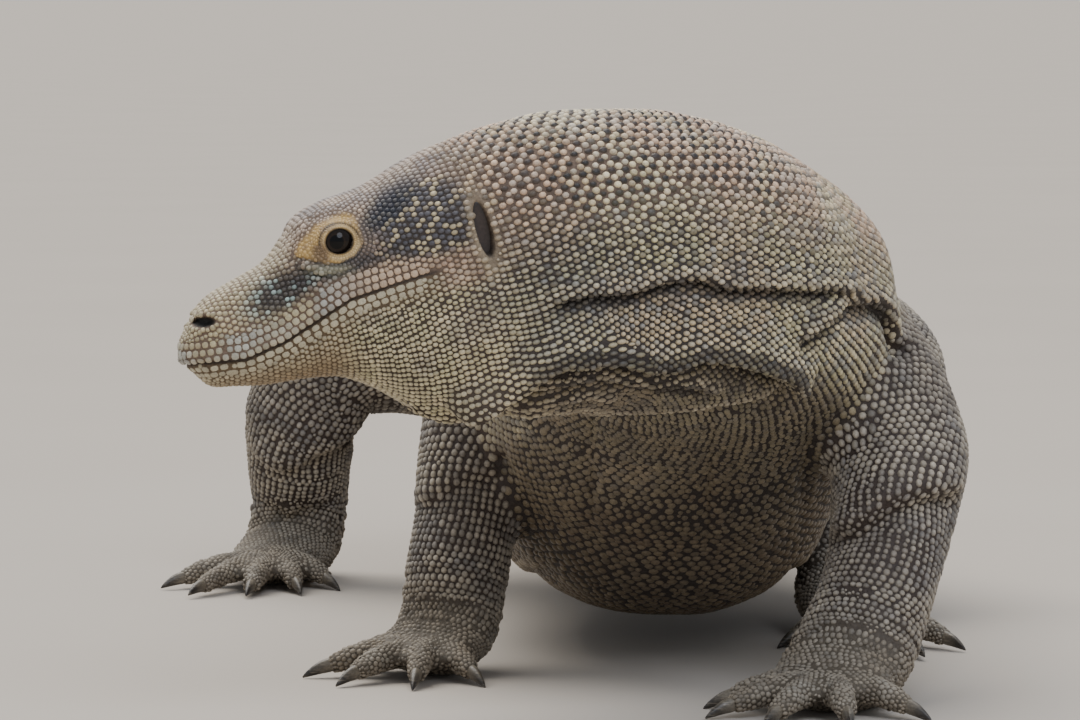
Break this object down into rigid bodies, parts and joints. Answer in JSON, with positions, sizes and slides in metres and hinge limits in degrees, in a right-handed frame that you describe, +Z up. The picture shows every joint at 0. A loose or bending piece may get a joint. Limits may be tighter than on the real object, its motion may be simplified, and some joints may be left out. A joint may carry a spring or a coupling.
{
  "type": "komodo dragon",
  "caption": "Life-size komodo dragon standing on splayed legs, its head turned to its right and its mouth shut, with the long tail laid along the floor.",
  "frame": {"origin": "floor point under the middle of the whole animal's bounding box", "axes": "+Z up, +Y from the snout towards the tail, so the animal faces -Y with its right side towards -X"},
  "size_m": [0.527, 1.9644, 0.3403],
  "materials": {
    "skin": "matte",
    "eye": "polished",
    "eardrum": "matte",
    "claw": "satin"
  },
  "bodies": {
    "root": {"claw_fore_left_1": "claw", "claw_fore_left_2": "claw", "claw_fore_left_3": "claw", "claw_fore_left_4": "claw", "claw_fore_left_5": "claw", "claw_fore_right_1": "claw", "claw_fore_right_2": "claw", "claw_fore_right_3": "claw", "claw_fore_right_4": "claw", "claw_fore_right_5": "claw", "claw_hind_left_1": "claw", "claw_hind_left_2": "claw", "claw_hind_left_3": "claw", "claw_hind_left_4": "claw", "claw_hind_left_5": "claw", "claw_hind_right_1": "claw", "claw_hind_right_2": "claw", "claw_hind_right_3": "claw", "claw_hind_right_4": "claw", "claw_hind_right_5": "claw", "eardrum_left": "eardrum", "eardrum_right": "eardrum", "eye_left": "eye", "eye_right": "eye", "foot_hind_left": "skin", "foot_hind_right": "skin", "forearm_fore_left": "skin", "forearm_fore_right": "skin", "hand_fore_left": "skin", "hand_fore_right": "skin", "head": "skin", "lower_jaw": "skin", "neck_base": "skin", "neck_throat": "skin", "shin_hind_left": "skin", "shin_hind_right": "skin", "tail_end": "skin", "tail_middle": "skin", "tail_root": "skin", "tail_tip": "skin", "thigh_hind_left": "skin", "thigh_hind_right": "skin", "trunk_belly": "skin", "trunk_hips": "skin", "trunk_shoulders": "skin", "upper_arm_fore_left": "skin", "upper_arm_fore_right": "skin"}
  },
  "joints": []
}
